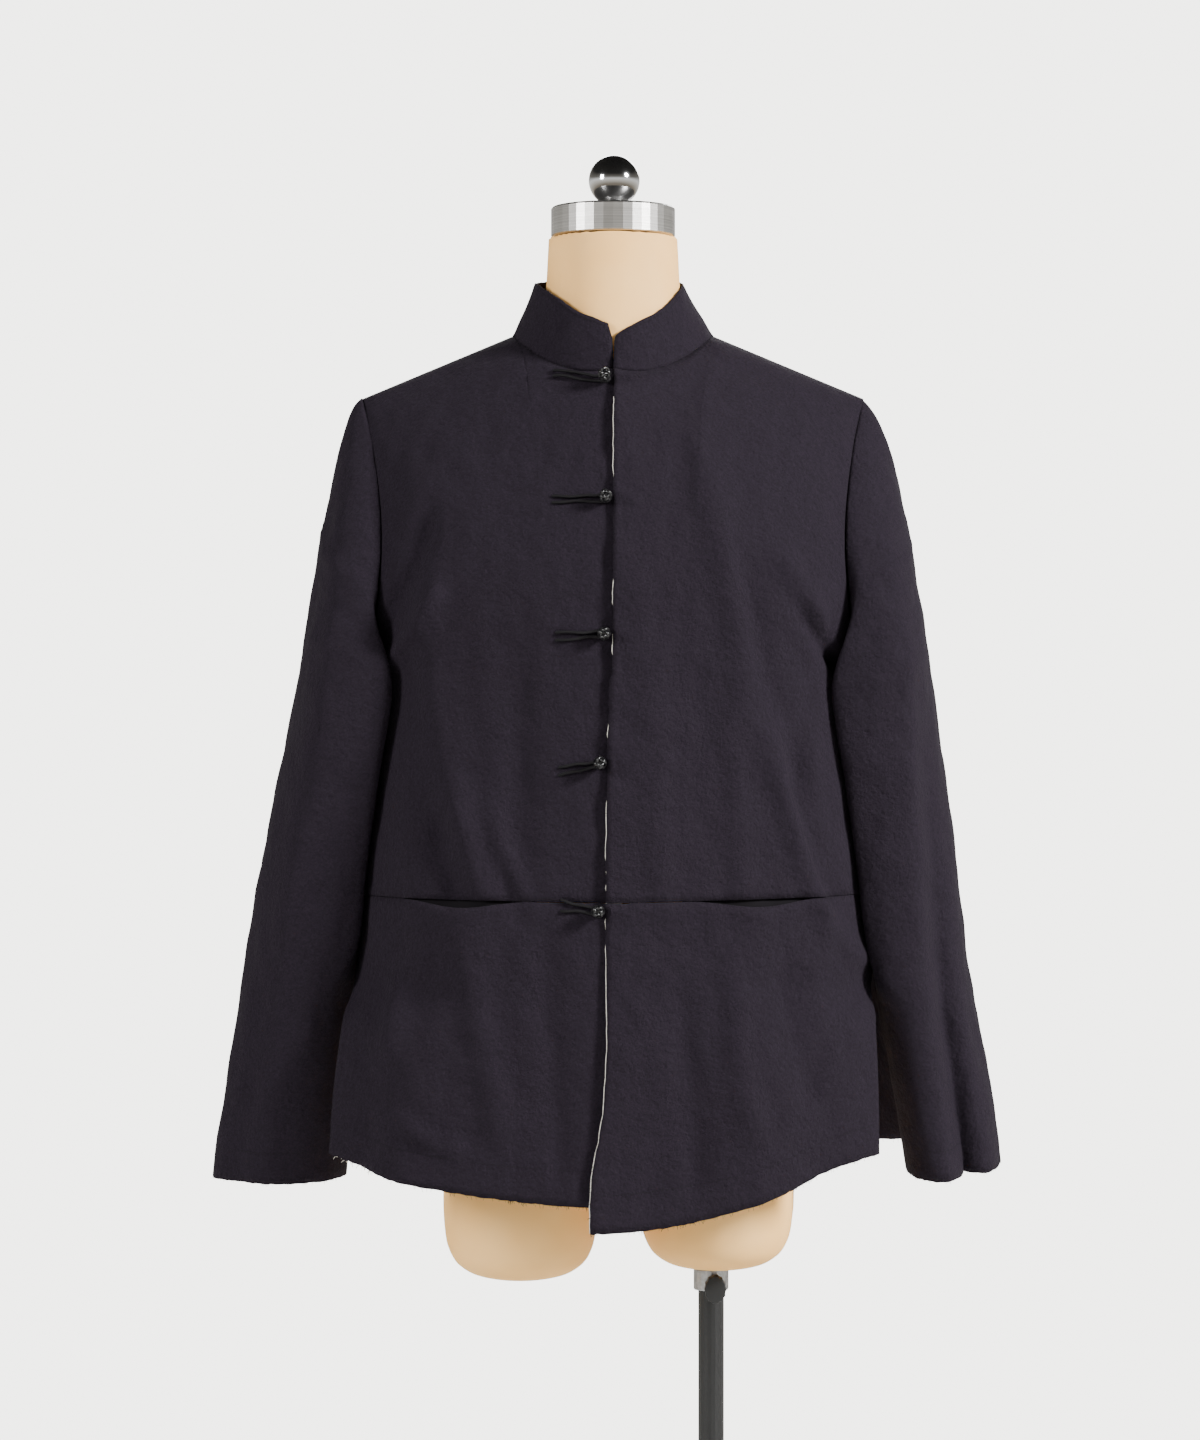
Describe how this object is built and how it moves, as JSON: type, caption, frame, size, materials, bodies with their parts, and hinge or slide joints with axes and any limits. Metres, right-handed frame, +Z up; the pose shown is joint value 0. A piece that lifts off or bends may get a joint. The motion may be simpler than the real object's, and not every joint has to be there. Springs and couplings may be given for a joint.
{
  "type": "tang jacket on a limbless dress form with a pole stand",
  "caption": "Black tang jacket with a stand collar, knotted frog fastenings, wide sleeves and side vents, worn by a limbless dress form on a pole stand.",
  "frame": {"origin": "centre of the underside of the round base, on the floor under the middle of the form's neck", "axes": "+Z up, the jacket's front faces -Y, the wearer's left side is +X"},
  "size_m": [0.6766, 0.4, 1.6154],
  "materials": {
    "black_crepe_cotton": "matt, lightly crinkled",
    "pale_cotton_facing": "matt",
    "black_satin_cord": "satin",
    "cream_form_cover": "matt, smooth",
    "brushed_steel": "brushed",
    "chrome": "polished",
    "grey_zinc": "satin",
    "black_enamel": "semi-matt"
  },
  "bodies": {
    "root": {"back": "black_crepe_cotton", "front_left_upper": "black_crepe_cotton", "front_left_lower": "black_crepe_cotton", "front_right_upper": "black_crepe_cotton", "front_right_lower": "black_crepe_cotton", "sleeve_left": "black_crepe_cotton", "sleeve_right": "black_crepe_cotton", "collar": "black_crepe_cotton", "pocket_bag_left": "black_crepe_cotton", "pocket_bag_right": "black_crepe_cotton", "left_front_facing": "pale_cotton_facing", "frog_loop_1": "black_satin_cord", "frog_loop_2": "black_satin_cord", "frog_loop_3": "black_satin_cord", "frog_loop_4": "black_satin_cord", "frog_loop_5": "black_satin_cord", "frog_knot_1": "black_satin_cord", "frog_knot_2": "black_satin_cord", "frog_knot_3": "black_satin_cord", "frog_knot_4": "black_satin_cord", "frog_knot_5": "black_satin_cord", "form_body": "cream_form_cover", "neck_cap": "brushed_steel", "cap_ball": "chrome", "form_socket": "grey_zinc", "stand_pole": "black_enamel", "pole_socket": "black_enamel", "socket_screw": "black_enamel", "stand_base": "black_enamel"}
  },
  "joints": []
}
